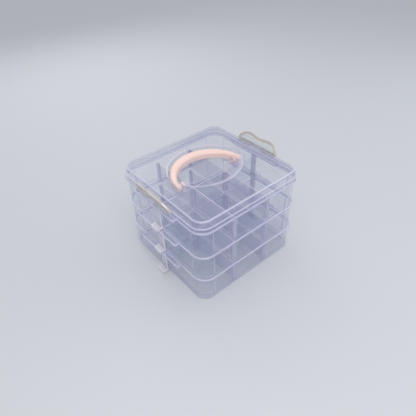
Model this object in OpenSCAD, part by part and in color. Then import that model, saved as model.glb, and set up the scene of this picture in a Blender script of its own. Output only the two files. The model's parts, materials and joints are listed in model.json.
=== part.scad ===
// Three stacking trays of clear plastic with dividers, side clips, a lid, two latches and a handle.
// Millimetres. The origin is the middle of the bottom tray's base, +Z is up, -Y is the front.

/* [Trays] */
// Outer width of a tray's rim
rim_w = 155; // [145:1:185]
// Outer corner radius of the rim
rim_r = 16.9; // [13:0.1:22]
// Height from the base of one tray to the base of the next
pitch = 35.5; // [31:0.5:55]
// Depth that a foot sinks into the mouth of the tray below
nest = 1.5; // [1.2:0.1:2]
// Thickness of a tray's wall
wall_t = 1.6; // [1.2:0.1:1.9]
// Thickness of a tray's floor
floor_t = 1.6; // [1.2:0.1:2.4]
// How far the lip stands out from the wall
lip_out = 2; // [1.5:0.1:3]
// How far the lip reaches down below the seat of the tray above
lip_drop = 1.3; // [0.8:0.1:2]
// How far the foot steps in from the wall
foot_in = 1; // [0.6:0.1:1.4]
// Height of the foot
foot_h = 5.5; // [4:0.1:8]
// Depth of the thinner panel in each wall
panel_in = 0.4; // [0.2:0.05:0.6]
// Distance of the thinner panel's ends from the round corners
panel_end = 2.1; // [1:0.1:10]

/* [Side shelves] */
// Length of a shelf along the tray's side
shelf_len = 76; // [60:1:90]
// How far a shelf stands out from the wall
shelf_out = 7.5; // [6.5:0.1:10]
// Height of a shelf's edge
shelf_h = 3.5; // [3:0.1:5]
// Thickness of a shelf's top and edge
shelf_t = 1.6; // [1.2:0.1:2]

/* [Dividers] */
// Thickness of a divider
divider_t = 1.5; // [1:0.1:2]
// Distance of the dividers' top below the base of the tray above
divider_drop = 3.5; // [2.5:0.1:8]
// Distance of the cross dividers from the middle
divider_x = 25.4; // [18:0.1:32]
// Thickness of the fixed middle wall
middle_t = 1.5; // [1.2:0.1:2.4]
// Thickness of a slot rib
rib_t = 1.5; // [1:0.1:2]
// How far the slot ribs reach over a divider's edge
rib_out = 2; // [1.5:0.1:3]

/* [Clips] */
// Width of a clip's tongue
tongue_w = 9; // [6:0.5:12]
// Thickness of a clip's tongue
tongue_t = 1.6; // [1.2:0.1:1.8]
// Width of the thumb tab
tab_w = 14; // [12.5:0.5:20]
// Thickness of the thumb tab
tab_t = 2.8; // [2:0.1:4]
// Thickness of the lip that grips the shelf's edge
tab_lip = 1.5; // [1:0.1:2]
// Height of the lip's lower end above the tray's base
tab_low = 0.2; // [0.1:0.1:0.8]
// Height of the grip ribs on the tab
tab_rib = 0.6; // [0.4:0.1:1]

/* [Lid] */
// How far the lid's flange stands in from the trays' rim
lid_in = 0.15; // [0.05:0.05:1]
// How far the raised plate steps in from the flange
plate_in = 3.7; // [3.2:0.1:5.5]
// Height of the flange
flange_h = 6.4; // [5:0.1:8]
// Height of the whole lid above the rim
lid_h = 12.9; // [12.4:0.1:15]
// Thickness of the lid
lid_t = 1.6; // [1.2:0.1:1.8]
// Thickness of the plug ring and of the flange's skirt
plug_t = 1.4; // [1:0.1:1.6]

/* [Handle] */
// Outer width of the handle at its pivots
handle_w = 98.4; // [90:0.1:104]
// Reach of the handle from its pivots
handle_reach = 44.8; // [40:0.1:47]
// Width of the handle's ends
handle_end = 6; // [5:0.1:7]
// Width of the grip at its middle
grip_w = 10.8; // [8:0.1:13]
// Thickness of the handle
handle_t = 8.4; // [7:0.1:8.6]
// Wall of the hollow grip
handle_wall = 1.9; // [1.5:0.1:2.4]
// Slope of the folded handle, in degrees
handle_tilt = 1.5; // [0:0.1:3]
// Diameter of the pivot stubs
stub_d = 3.5; // [2.5:0.1:4]
// Thickness of the ears in the well
ear_t = 4; // [3:0.1:5]

/* [Handle well] */
// Depth of the well's floor below the plate
well_depth = 13; // [12.6:0.1:13.4]
// Gap between the folded handle and the well's rim
well_gap = 2.2; // [1.5:0.1:3]
// Reach of the well in front of the pivots, between the pockets
well_front = 2; // [1:0.1:4]
// Reach of the finger ramp in front of the pivots
ramp_reach = 35; // [28:0.5:42]
// Radius of the finger ramp's outline
ramp_r = 51; // [44:1:60]
// Reach of the pivot pockets in front of the pivots
pocket_reach = 8; // [7:0.1:10]
// Reach of the pivot pockets inward of the handle's ends
pocket_in = 7; // [6.5:0.1:9]

/* [Latches] */
// Half of a latch's width
latch_half = 33.5; // [30:0.1:36]
// Distance of the two lobes from the middle
lobe_y = 16.7; // [14:0.1:20]
// Reach of the lobes from the pivot
latch_reach = 13.9; // [13:0.1:16]
// Depth of the dip between the lobes
latch_dip = 2.2; // [1:0.1:2.4]
// Thickness of the latch plate
latch_t = 1.2; // [1:0.1:1.6]
// Width of the thicker edge around the latch
bead_w = 1.6; // [1:0.1:2]
// Height of the thicker edge above the plate
bead_h = 1; // [0.6:0.1:1.4]
// Diameter of the latch's hinge barrel
barrel_d = 4.4; // [4:0.1:4.8]
// Diameter of the latch's pins
pin_d = 2.6; // [2:0.1:3]
// Width of the lid's hinge lug
lug_w = 19; // [15:0.5:24]
// Height of the pivot above the rim
pivot_up = 6; // [5.8:0.1:6.8]
// How far the latches stand open, in degrees from latched
latch_open = 157; // [90:1:170]
// How far the hook reaches under the shelf
hook_in = 1.3; // [0.8:0.1:1.5]

/* [Clearances] */
// Gap around a foot or plug in the mouth below
mouth_gap = 0.7; // [0.4:0.1:0.8]
// Gap between pieces that move past each other
gap = 0.3; // [0.25:0.05:0.4]
// Gap on each side of a divider in its slot
slot_gap = 0.1; // [0.05:0.05:0.2]
// Gap around a pin in its bore, on the radius
pin_gap = 0.05; // [0.03:0.01:0.1]

/* [Hidden] */
TIERS = ["bottom", "middle", "top"];
SIDES = ["left", "right"];
ENDS = ["front", "rear"];
CLEAR_BLUE = [0.60, 0.70, 0.80, 0.55];
CREAM = [0.93, 0.84, 0.78, 1];
$fn = 96;
eps = 0.01;

// Half widths that the trays share
rim_x = rim_w / 2;
corner = rim_x - rim_r;
wall_x = rim_x - lip_out;
foot_x = wall_x - foot_in;
mouth_x = foot_x + mouth_gap;
wall_in = wall_x - wall_t;
foot_inner = foot_x - wall_t;
shelf_x = wall_x + shelf_out;
panel_y = corner - panel_end;
rim_z = pitch + nest;
divider_top = pitch - divider_drop;
shelf_z = rim_z - shelf_h;
stack_z = 2 * pitch + rim_z;

// Roundings and small bevels of the trays
foot_round = 1;
foot_bevel = 0.2;
rim_round = 0.7;
lip_round = 0.5;
mouth_round = 0.4;
shelf_round = 3;
inner_cut = 1;

// Lid heights, and half widths from the same rim
flange_z = stack_z + flange_h;
plate_z = stack_z + lid_h;
flange_x = rim_x - lid_in;
plate_x = flange_x - plate_in;
plug_x = mouth_x - mouth_gap / 2;
floor_z = plate_z - well_depth;

// Handle pivots lie in the middle of the handle's thickness, a little above the well's floor
handle_lift = 0.6;
handle_z = floor_z + handle_lift + handle_t / 2;
handle_x = handle_w / 2;
grip_in = handle_reach - grip_w;
end_in = handle_x - handle_end;
ear_gap = 1.6;
ear_x = end_in - ear_gap;
stub_in = 0.6;
// The eyes at the handle's ends stand a little proud of the bow, and the grip is hollow past them
eye_extra = 0.3;
hollow_start = 8;
edge_r = 2.4;

// A circle through (0, b) and (w, 0), as the place of its middle on Y and its radius
function arc_mid(w, b) = (b * b - w * w) / (2 * b);
function arc_r(w, b) = b - arc_mid(w, b);
// Points along an arc in steps, for rounded edges of a profile
function bend(x, y, r, a, b, steps = 4) =
    [for (i = [0:steps]) let (t = a + (b - a) * i / steps) [x + r * cos(t), y + r * sin(t)]];

// Latch frame: the pivot is the origin, the plate hangs down at its outer side
pivot_x = shelf_x - 1;
pivot_z = stack_z + pivot_up;
plate_off = shelf_x + gap - pivot_x;
hook_z = pivot_z - (stack_z - shelf_h) + gap;
hook_t = 1.4;
hook_half = 24;
lug_r = 2.9;
notch_r = lug_r + gap + slot_gap;
ledge_over = 0.5;
pin_len = 4;
barrel_half = 28;

// Profile points swept around a square with round corners; x counts from the corners' middle
module ring(c) {
    for (k = [0:3]) rotate([0, 0, 90 * k]) {
        translate([c, c, 0]) rotate_extrude(angle = 90) children();
        translate([c, c, 0]) rotate([90, 0, 0]) linear_extrude(2 * c) children();
    }
}

// Rectangle with four round corners
module round_rect(x0, y0, x1, y1, r) {
    translate([x0 + r, y0]) square([x1 - x0 - 2 * r, y1 - y0]);
    translate([x0, y0 + r]) square([x1 - x0, y1 - y0 - 2 * r]);
    for (x = [x0 + r, x1 - r], y = [y0 + r, y1 - r]) translate([x, y]) circle(r);
}

// Section of a tray's floor, foot, wall, seat and lip
module tray_section() {
    foot = foot_x - corner;
    wall = wall_x - corner;
    lip = rim_x - corner;
    mouth = mouth_x - corner;
    lip_z = pitch - lip_drop;
    polygon(concat([[0, 0]],
        bend(foot - foot_round, foot_round, foot_round, -90, 0),
        [[foot, foot_h], [wall - foot_bevel, foot_h], [wall, foot_h + foot_bevel], [wall, lip_z]],
        bend(lip - lip_round, lip_z + lip_round, lip_round, -90, 0),
        bend(lip - rim_round, rim_z - rim_round, rim_round, 0, 90),
        bend(mouth + mouth_round, rim_z - mouth_round, mouth_round, 90, 180),
        [[mouth, pitch], [wall - wall_t, pitch], [wall - wall_t, foot_h + wall_t],
        [foot - wall_t, foot_h + wall_t], [foot - wall_t, floor_t + inner_cut],
        [foot - wall_t - inner_cut, floor_t], [0, floor_t]]));
}

// Shelf on one side: a top and an edge, open below, with solid root above the clip's tongue
module shelf() {
    root = rim_x + foot_bevel;
    edge_y = shelf_len / 2 - shelf_t;
    difference() {
        translate([0, 0, shelf_z]) linear_extrude(shelf_h)
            intersection() {
                round_rect(wall_x - shelf_out, -shelf_len / 2, shelf_x, shelf_len / 2, shelf_round);
                translate([mouth_x + slot_gap, -shelf_len]) square([shelf_x, 2 * shelf_len]);
            }
        translate([0, 0, shelf_z - shelf_t]) linear_extrude(shelf_h)
            round_rect(root, -edge_y, shelf_x - shelf_t, edge_y, shelf_round / 2);
    }
}

// Two ribs that hold a divider's edge, standing out from y to y plus rib_out
module slot_ribs(y, reach) {
    half = divider_t / 2 + slot_gap;
    for (s = [-1, 1])
        translate([s * (half + rib_t / 2) - rib_t / 2, y, floor_t - eps])
            cube([rib_t, reach, divider_top - floor_t + eps]);
}

module tray(tier) {
    panel_z = foot_h + 1;
    panel_top = shelf_z - 0.5;
    color(CLEAR_BLUE) translate([0, 0, tier * pitch]) {
        difference() {
            union() {
                ring(corner) tray_section();
                translate([-corner, -corner, 0]) cube([2 * corner, 2 * corner, floor_t]);
            }
            for (k = [0:3]) rotate([0, 0, 90 * k])
                translate([wall_x - panel_in, -panel_y, panel_z])
                    cube([2 * panel_in, 2 * panel_y, panel_top - panel_z]);
        }
        for (k = [0, 1]) mirror([k, 0, 0]) {
            shelf();
            for (j = [0, 1]) mirror([0, j, 0]) translate([divider_x, 0, 0]) {
                slot_ribs(middle_t / 2 - eps, rib_out);
                slot_ribs(foot_inner - rib_out, rib_out + wall_t / 2);
            }
        }
        translate([-wall_in - wall_t / 2, -middle_t / 2, floor_t - eps])
            cube([2 * wall_in + wall_t, middle_t, divider_top - floor_t + eps]);
    }
}

// Divider plate with a cut lower corner at the wall
module divider(tier, side, end) {
    y0 = middle_t / 2 + slot_gap;
    y1 = foot_inner - slot_gap;
    cut = inner_cut + 0.6;
    top_cut = 0.8;
    color(CLEAR_BLUE)
        mirror([side == 0 ? 1 : 0, 0, 0]) mirror([0, end == 0 ? 1 : 0, 0])
            translate([divider_x + divider_t / 2, 0, tier * pitch]) rotate([0, -90, 0])
                linear_extrude(divider_t)
                    polygon([[floor_t, y0], [floor_t, y1 - cut], [floor_t + cut, y1],
                        [divider_top - top_cut, y1], [divider_top, y1 - top_cut], [divider_top, y0]]);
}

// Springy tongue with a ribbed thumb tab that grips the shelf of the tray below
module clip(tier, side) {
    x0 = wall_x + 0.2;
    z_top = shelf_z - gap;
    tab_z = nest + gap;
    tab_top = tab_z + tab_t;
    tab_round = 1.5;
    tip = shelf_x + gap + tab_lip;
    rib_from = x0 + tongue_t + 1.2;
    rib_step = 2;
    grip_rib = 0.9;
    gusset = [0.8, 1, 6];
    color(CLEAR_BLUE) mirror([side == 0 ? 1 : 0, 0, 0]) translate([0, 0, tier * pitch]) {
        translate([x0, -tongue_w / 2, tab_z]) cube([tongue_t, tongue_w, z_top - tab_z]);
        translate([0, 0, tab_z]) linear_extrude(tab_t)
            round_rect(x0, -tab_w / 2, tip, tab_w / 2, tab_round);
        translate([0, 0, tab_low]) linear_extrude(tab_top - tab_low) intersection() {
            round_rect(x0, -tab_w / 2, tip, tab_w / 2, tab_round);
            translate([tip - tab_lip, -tab_w]) square([tab_lip, 2 * tab_w]);
        }
        for (i = [0:2]) translate([rib_from + i * rib_step, tab_round - tab_w / 2, tab_top - eps])
            cube([grip_rib, tab_w - 2 * tab_round, tab_rib + eps]);
        for (s = [0, 1]) mirror([0, s, 0])
            translate([x0 + tongue_t - eps, tongue_w / 2 - gusset[1], tab_top - eps]) cube(gusset);
    }
}

// Section of the lid's plug, flange, raised wall and plate
module lid_section() {
    plate = plate_x - corner;
    flange = flange_x - corner;
    plug = plug_x - corner;
    web = flange_z - lid_t;
    plug_z = stack_z - nest;
    fine = 0.4;
    flange_round = 0.8;
    plate_round = 1.5;
    polygon(concat([[0, plate_z - lid_t], [plate - lid_t - flange_round, plate_z - lid_t],
        [plate - lid_t, plate_z - lid_t - flange_round], [plate - lid_t, web], [plug - plug_t, web],
        [plug - plug_t, plug_z], [plug - fine, plug_z], [plug, plug_z + fine],
        [plug, web], [flange - plug_t, web], [flange - plug_t, stack_z]],
        bend(flange - fine, stack_z + fine, fine, -90, 0),
        bend(flange - flange_round, flange_z - flange_round, flange_round, 0, 90),
        [[plate + fine, flange_z], [plate, flange_z + fine]],
        bend(plate - plate_round, plate_z - plate_round, plate_round, 0, 90),
        [[0, plate_z]]));
}

// Near edge of the well: a wide arc that reaches well_front past the pivots
module well_arc(grow) {
    arc = 85;
    translate([0, arc]) circle(arc + well_front + grow);
}

// Outline of the well that the handle folds into, grown by a wall
module well_outline(grow) {
    w = handle_x + well_gap;
    b = handle_reach + well_gap;
    pocket_far = 14;
    pocket_round = 2;
    intersection() {
        translate([0, arc_mid(w, b)]) circle(arc_r(w, b) + grow);
        well_arc(grow);
    }
    for (s = [0, 1]) mirror([s, 0])
        round_rect(end_in - pocket_in - grow, -pocket_reach - grow, w + grow, pocket_far,
            pocket_round + grow);
}

// Finger ramp between the plate and the well's floor
module ramp(grow) {
    ramp_z = grow > 0 ? plate_z - lid_t : plate_z + 0.2;
    ramp_back = 6;
    hull() {
        translate([0, 0, ramp_z]) linear_extrude(0.1) intersection() {
            translate([0, ramp_r - ramp_reach]) circle(ramp_r + grow);
            translate([-ramp_r - lid_t, -ramp_r - lid_t])
                square([2 * (ramp_r + lid_t), ramp_r + lid_t + ramp_back + grow]);
        }
        translate([0, 0, floor_z - grow]) linear_extrude(0.1) intersection() {
            well_arc(grow);
            translate([-ramp_r - lid_t, -ramp_r - lid_t])
                square([2 * (ramp_r + lid_t), ramp_r + lid_t + ramp_back + grow]);
        }
    }
}

// Ears in the well that hold the handle's stubs
module ears() {
    for (s = [0, 1]) mirror([s, 0, 0]) translate([ear_x - ear_t, 0, handle_z]) difference() {
        union() {
            rotate([0, 90, 0]) cylinder(d = handle_t, h = ear_t);
            translate([0, -handle_t / 2, floor_z - handle_z - eps])
                cube([ear_t, handle_t, handle_z - floor_z + eps]);
        }
        translate([-1, 0, 0]) rotate([0, 90, 0]) cylinder(r = stub_d / 2 + pin_gap, h = ear_t + 2);
    }
}

// Ledge and lug on the lid's side that carry one latch
module latch_seat() {
    bottom = stack_z + gap;
    top = pivot_z - barrel_d / 2 - 1.5 * gap;
    root = flange_x - plug_t / 2;
    ledge_y = latch_half + ledge_over;
    translate([0, 0, bottom]) linear_extrude(top - bottom) intersection() {
        round_rect(root - shelf_out, -ledge_y, shelf_x, ledge_y, shelf_round);
        translate([root, -ledge_y]) square([shelf_x, 2 * ledge_y]);
    }
    difference() {
        union() {
            translate([pivot_x, lug_w / 2, pivot_z]) rotate([90, 0, 0]) cylinder(r = lug_r, h = lug_w);
            translate([root, -lug_w / 2, bottom])
                cube([shelf_x - root, lug_w, pivot_z - bottom]);
        }
        translate([pivot_x, lug_w, pivot_z]) rotate([90, 0, 0])
            cylinder(r = pin_d / 2 + pin_gap, h = 2 * lug_w);
    }
}

module lid() {
    color(CLEAR_BLUE) {
        difference() {
            union() {
                ring(corner) lid_section();
                translate([-corner, -corner, plate_z - lid_t]) cube([2 * corner, 2 * corner, lid_t]);
                translate([0, 0, floor_z - lid_t]) linear_extrude(well_depth + lid_t / 2)
                    well_outline(lid_t);
                ramp(lid_t);
            }
            translate([0, 0, floor_z]) linear_extrude(well_depth + 1) well_outline(0);
            ramp(0);
        }
        ears();
        for (k = [0, 1]) mirror([k, 0, 0]) latch_seat();
    }
}

// Round slab of the handle's outer edge, and the round hole of its inner edge
module bow_slab() {
    h = handle_t / 2;
    r = arc_r(handle_x, handle_reach) - edge_r;
    translate([0, arc_mid(handle_x, handle_reach), 0]) rotate_extrude()
        polygon(concat([[0, -h]], bend(r, edge_r - h, edge_r, -90, 0),
            bend(r, h - edge_r, edge_r, 0, 90), [[0, h]]));
}
module bow_hole() {
    h = handle_t / 2;
    r = arc_r(end_in, grip_in) + edge_r;
    flare = 15;
    low = bend(r, edge_r - h, edge_r, 270 - flare, 180);
    high = bend(r, h - edge_r, edge_r, 180, 90 + flare);
    mouth = low[0][0] + gap;
    translate([0, arc_mid(end_in, grip_in), 0]) rotate_extrude()
        polygon(concat([[0, -handle_t], [mouth, -handle_t]], low, high,
            [[mouth, handle_t], [0, handle_t]]));
}

// Hollow underside of the grip
module bow_hollow() {
    top = handle_t / 2 - handle_wall;
    difference() {
        translate([0, arc_mid(handle_x, handle_reach), top - handle_t])
            cylinder(r = arc_r(handle_x, handle_reach) - handle_wall, h = handle_t);
        translate([0, arc_mid(end_in, grip_in), -handle_t])
            cylinder(r = arc_r(end_in, grip_in) + handle_wall, h = 2 * handle_t);
        translate([-handle_w, hollow_start - 2 * handle_w, -handle_t])
            cube([2 * handle_w, 2 * handle_w, 2 * handle_t]);
    }
}

// Eye at one end of the handle, with its stub towards the middle
module handle_eye() {
    r = handle_t / 2 + eye_extra;
    bevel = 1.2;
    inner = end_in - 0.2;
    outer = handle_x - 0.02;
    stub = ear_x - ear_t + stub_in;
    rotate([0, 90, 0]) rotate_extrude()
        polygon([[0, stub], [stub_d / 2, stub], [stub_d / 2, inner], [r - bevel / 2, inner],
            [r, inner + bevel / 2], [r, outer - bevel], [r - bevel, outer], [0, outer]]);
}

// Handle: a bow between two circles, with round edges, a hollow underside and inward stubs
module handle() {
    color(CREAM) translate([0, 0, handle_z]) rotate([handle_tilt, 0, 0]) {
        difference() {
            bow_slab();
            bow_hole();
            translate([-handle_w, -2 * handle_w, -handle_t])
                cube([2 * handle_w, 2 * handle_w, 2 * handle_t]);
            bow_hollow();
        }
        for (s = [0, 1]) mirror([s, 0, 0]) handle_eye();
    }
}

// Two-lobed outline of a latch; x is across, y is the distance from the pivot
function lobes(half, reach, q = 1.7, n = 12) =
    concat([for (i = [0:n]) let (y = lobe_y * i / n)
            [y, reach - latch_dip * (1 + cos(180 * y / lobe_y)) / 2]],
        [for (i = [1:n]) let (t = 90 * i / n)
            [lobe_y + (half - lobe_y) * pow(sin(t), 2 / q), reach * pow(cos(t), 2 / q)]]);
module latch_outline(shrink) {
    side = lobes(latch_half - shrink, latch_reach - shrink);
    last = len(side) - 1;
    polygon(concat(side, [for (i = [0:last - 1]) [-side[last - i][0], side[last - i][1]]]));
}

// Latch, drawn latched in the pivot's frame and then swung open
module latch(side) {
    notch = lug_w / 2 + gap;
    color(CREAM) mirror([side == 0 ? 1 : 0, 0, 0])
        translate([pivot_x, 0, pivot_z]) rotate([0, -latch_open, 0]) {
            difference() {
                translate([plate_off, 0, 0]) rotate([90, 180, 90]) {
                    linear_extrude(latch_t) latch_outline(0);
                    linear_extrude(latch_t + bead_h) difference() {
                        latch_outline(0);
                        latch_outline(bead_w);
                        translate([-latch_half, -1]) square([2 * latch_half, 3]);
                    }
                }
                translate([0, notch, 0]) rotate([90, 0, 0]) cylinder(r = notch_r, h = 2 * notch);
            }
            translate([plate_off - hook_in - gap, -hook_half, -hook_z - hook_t])
                cube([hook_in + gap + latch_t / 2, 2 * hook_half, hook_t]);
            for (s = [0, 1]) mirror([0, s, 0]) {
                translate([0, barrel_half, 0]) rotate([90, 0, 0])
                    cylinder(d = barrel_d, h = barrel_half - notch);
                translate([0, notch + 1, 0]) rotate([90, 0, 0])
                    cylinder(d = pin_d, h = pin_len + 1 + gap);
            }
        }
}

lid();
handle();
for (s = [0, 1]) latch(s);
for (t = [0:2]) {
    tray(t);
    for (s = [0, 1]) {
        clip(t, s);
        for (e = [0, 1])
            divider(t, s, e);
    }
}
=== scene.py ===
# Three-tray thread box in clear bluish plastic with a cream handle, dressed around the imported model
import json
import math

import bpy
import numpy as np
from mathutils import Matrix, Vector

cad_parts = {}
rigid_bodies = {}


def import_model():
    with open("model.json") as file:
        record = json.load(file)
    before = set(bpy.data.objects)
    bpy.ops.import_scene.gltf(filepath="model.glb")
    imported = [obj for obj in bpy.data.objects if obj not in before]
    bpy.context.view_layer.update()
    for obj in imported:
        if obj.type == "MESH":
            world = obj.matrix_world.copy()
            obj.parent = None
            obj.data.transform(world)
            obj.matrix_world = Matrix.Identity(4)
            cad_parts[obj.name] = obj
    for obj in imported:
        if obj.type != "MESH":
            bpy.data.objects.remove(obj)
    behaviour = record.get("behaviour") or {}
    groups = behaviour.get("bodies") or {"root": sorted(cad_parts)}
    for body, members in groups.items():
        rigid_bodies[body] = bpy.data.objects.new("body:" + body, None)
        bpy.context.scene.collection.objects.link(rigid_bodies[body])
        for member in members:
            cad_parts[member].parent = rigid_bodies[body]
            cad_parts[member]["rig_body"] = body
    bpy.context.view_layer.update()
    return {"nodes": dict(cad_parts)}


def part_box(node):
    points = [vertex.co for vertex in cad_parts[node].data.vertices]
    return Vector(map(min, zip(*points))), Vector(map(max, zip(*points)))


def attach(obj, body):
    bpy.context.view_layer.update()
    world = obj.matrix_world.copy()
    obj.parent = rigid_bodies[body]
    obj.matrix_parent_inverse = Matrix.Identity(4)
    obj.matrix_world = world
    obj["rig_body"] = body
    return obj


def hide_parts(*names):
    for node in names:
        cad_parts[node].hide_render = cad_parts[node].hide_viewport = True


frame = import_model()
mm = 0.001
rad = math.pi / 180


# Camera, fitted to the photograph's 416 pixel frame

cameraSet = dict(
    focalPixels=398.38,
    framePixels=416,
    sensor=36,
    distance=0.50807,
    nearest=0.01,
    azimuth=-38.82,
    elevation=39.79,
    roll=-2.2,
    target=(0, 0, 0.060),
    slide=(-0.00283, -0.00223),  # of the target, along the view's right and up
)


def makeCamera(c):
    # the view direction from azimuth and elevation, then the right and up axes rolled about it
    az, el, roll = (c[k] * rad for k in ("azimuth", "elevation", "roll"))
    back = Vector((math.sin(az) * math.cos(el), -math.cos(az) * math.cos(el), math.sin(el)))
    level = Vector((math.cos(az), math.sin(az), 0))
    upright = back.cross(level)
    right = level * math.cos(roll) + upright * math.sin(roll)
    up = upright * math.cos(roll) - level * math.sin(roll)
    place = Vector(c["target"]) + right * c["slide"][0] + up * c["slide"][1] + back * c["distance"]
    data = bpy.data.cameras.new("camera")
    data.sensor_width = c["sensor"]
    data.lens = c["focalPixels"] / c["framePixels"] * c["sensor"]
    data.clip_start = c["nearest"]
    cam = bpy.data.objects.new("camera", data)
    bpy.context.scene.collection.objects.link(cam)
    cam.matrix_world = Matrix((
        (right.x, up.x, back.x, place.x),
        (right.y, up.y, back.y, place.y),
        (right.z, up.z, back.z, place.z),
        (0, 0, 0, 1)))
    bpy.context.scene.camera = cam


makeCamera(cameraSet)
print("camera set")


# Lamps, world and floor

def fromSrgb(r, g, b):
    # screen values of 0 to 255 to the linear colour that a shader takes
    c = np.array([r, g, b]) / 255
    return [*np.where(c <= 0.04045, c / 12.92, ((c + 0.055) / 1.055) ** 2.4).tolist(), 1.0]


lightSet = dict(
    lamps=dict(
        key=dict(place=(-0.30, -0.50, 0.70), size=0.5, power=2.8, color=(1, 0.96, 0.94)),
        fill=dict(place=(0.75, -0.35, 0.45), size=0.7, power=1.1, color=(0.92, 0.95, 1)),
        rear=dict(place=(0.15, 0.75, 0.60), size=0.6, power=1.7, color=(1, 0.98, 0.97)),
    ),
    sky=(0.94, 0.96, 1, 1),
    skyStrength=0.69,
    floorColor=fromSrgb(205, 208, 212),
    floorRoughness=0.9,
    floorSize=6,
    floorDrop=0.0002,  # keeps the paper clear of the box's own flat base, where the two would flicker
    seeThrough=128,  # clear walls that one ray may cross
)


def makeLights(c):
    # soft square lamps that look at the middle of the box, under an even sky
    for name, lamp in c["lamps"].items():
        data = bpy.data.lights.new(name, "AREA")
        data.energy = lamp["power"]
        data.size = lamp["size"]
        data.color = lamp["color"]
        obj = bpy.data.objects.new(name, data)
        bpy.context.scene.collection.objects.link(obj)
        obj.location = lamp["place"]
        aim = Vector(cameraSet["target"]) - Vector(lamp["place"])
        obj.rotation_euler = aim.to_track_quat("-Z", "Y").to_euler()
    world = bpy.data.worlds.new("studio")
    bpy.context.scene.world = world
    world.use_nodes = True
    sky = world.node_tree.nodes["Background"]
    sky.inputs["Color"].default_value = c["sky"]
    sky.inputs["Strength"].default_value = c["skyStrength"]


def makeFloor(c):
    # a flat plain square under the object
    h, z = c["floorSize"] / 2, -c["floorDrop"]
    mesh = bpy.data.meshes.new("floor")
    mesh.from_pydata([(-h, -h, z), (h, -h, z), (h, h, z), (-h, h, z)], [], [(0, 1, 2, 3)])
    floor = bpy.data.objects.new("floor", mesh)
    bpy.context.scene.collection.objects.link(floor)
    mat = bpy.data.materials.new("floor_paper")
    mat.use_nodes = True
    skin = mat.node_tree.nodes["Principled BSDF"]
    skin.inputs["Base Color"].default_value = c["floorColor"]
    skin.inputs["Roughness"].default_value = c["floorRoughness"]
    mesh.materials.append(mat)


makeLights(lightSet)
makeFloor(lightSet)
bpy.context.scene.view_settings.view_transform = "Standard"
bpy.context.scene.cycles.transparent_max_bounces = lightSet["seeThrough"]
bpy.context.scene.cycles.use_denoising = True
print("lights and floor set")


# Shapes worked out with numpy, in millimetres

def unit(v):
    # each vector divided by its own length
    return v / np.linalg.norm(v, axis=-1, keepdims=True)


def roundPath(corners, radii, glow=None, steps=4, closed=True, fade=0.8):
    # Each corner of the line becomes an arc: the points keep their radius from the arc's middle, and the
    # normal, which lies to the right of the way along, turns with them. A long flat gets a point at the
    # distance fade from each of its ends, where the glow has gone back to nothing.
    p = np.array(corners, float)
    glow = np.zeros(len(p)) if glow is None else np.array(glow, float)
    arcs = []
    for i in range(len(p)):
        if not closed and i in (0, len(p) - 1):
            way = unit(p[-1] - p[-2] if i else p[1] - p[0])
            arcs.append((p[i:i + 1], np.array([[way[1], -way[0]]]), glow[i:i + 1]))
            continue
        before = unit(p[i] - p[i - 1])
        after = unit(p[(i + 1) % len(p)] - p[i])
        turn = math.atan2(before[0] * after[1] - before[1] * after[0], before @ after)
        side = math.copysign(1, turn)
        start = p[i] - before * radii[i] * math.tan(abs(turn) / 2)
        middle = start - side * radii[i] * np.array([before[1], -before[0]])
        angle = math.atan2(-before[0], before[1]) + turn * np.linspace(0, 1, steps + 1)
        out = np.stack([np.cos(angle), np.sin(angle)], 1)
        arcs.append((middle + side * radii[i] * out, out, np.full(steps + 1, glow[i])))
    longFlat = 2.5 * fade
    points, normals, glows = [], [], []
    for i, (at, out, shine) in enumerate(arcs):
        points.append(at)
        normals.append(out)
        glows.append(shine)
        if i == len(arcs) - 1 and not closed:
            break
        first, second = at[-1], arcs[(i + 1) % len(arcs)][0][0]
        length = np.linalg.norm(second - first)
        if length > longFlat:
            way = (second - first) / length
            points.append(np.array([first + way * fade, second - way * fade]))
            normals.append(np.repeat(out[-1:], 2, 0))
            glows.append(np.zeros(2))
    return np.concatenate(points), np.concatenate(normals), np.concatenate(glows)


def roundSection(table, fade=0.8):
    # An open section from rows of inset, height, radius and glow. The inset counts against the path's
    # outward normal, so its sign is turned for the rounding and then turned back.
    table = np.array(table, float)
    flip = np.array([-1, 1])
    section, out, glow = roundPath(table[:, :2] * flip, table[:, 2], table[:, 3], closed=False, fade=fade)
    return section * flip, out, glow


def squarePath(half, corner, stops, bendPoints=13):
    # A square with round corners, once round to the left: the stops lie along each side, an arc of the
    # corner's radius follows, and each quarter is the first one turned by a right angle.
    flat = half - corner
    arc = np.linspace(0, math.pi / 2, bendPoints)
    side = np.stack([np.full(len(stops), half), stops], 1)
    bend = np.stack([flat + corner * np.cos(arc), flat + corner * np.sin(arc)], 1)
    sideOut = np.stack([np.ones(len(stops)), np.zeros(len(stops))], 1)
    bendOut = np.stack([np.cos(arc), np.sin(arc)], 1)
    points, normals = np.concatenate([side, bend]), np.concatenate([sideOut, bendOut])
    turns = [np.array([[c, s], [-s, c]]) for c, s in ((1, 0), (0, 1), (-1, 0), (0, -1))]
    return np.concatenate([points @ t for t in turns]), np.concatenate([normals @ t for t in turns])


def gridFaces(rows, columns, wrapRows=False, wrapColumns=True):
    # one quad between neighbouring rows and columns of a grid, whose points are numbered row by row
    r = np.arange(rows if wrapRows else rows - 1)[:, None]
    c = np.arange(columns if wrapColumns else columns - 1)[None, :]
    nextRow, nextColumn = (r + 1) % rows * columns, (c + 1) % columns
    quad = (r * columns + c, r * columns + nextColumn, nextRow + nextColumn, nextRow + c)
    return np.stack(np.broadcast_arrays(*quad), -1).reshape(-1, 4).tolist()


def withHeight(flat, height):
    # a grid of X and Y, with one height or upward share for each of its rows
    tall = np.broadcast_to(height[:, None, None], flat.shape[:2] + (1,))
    return np.concatenate([flat, tall], -1).reshape(-1, 3)


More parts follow.
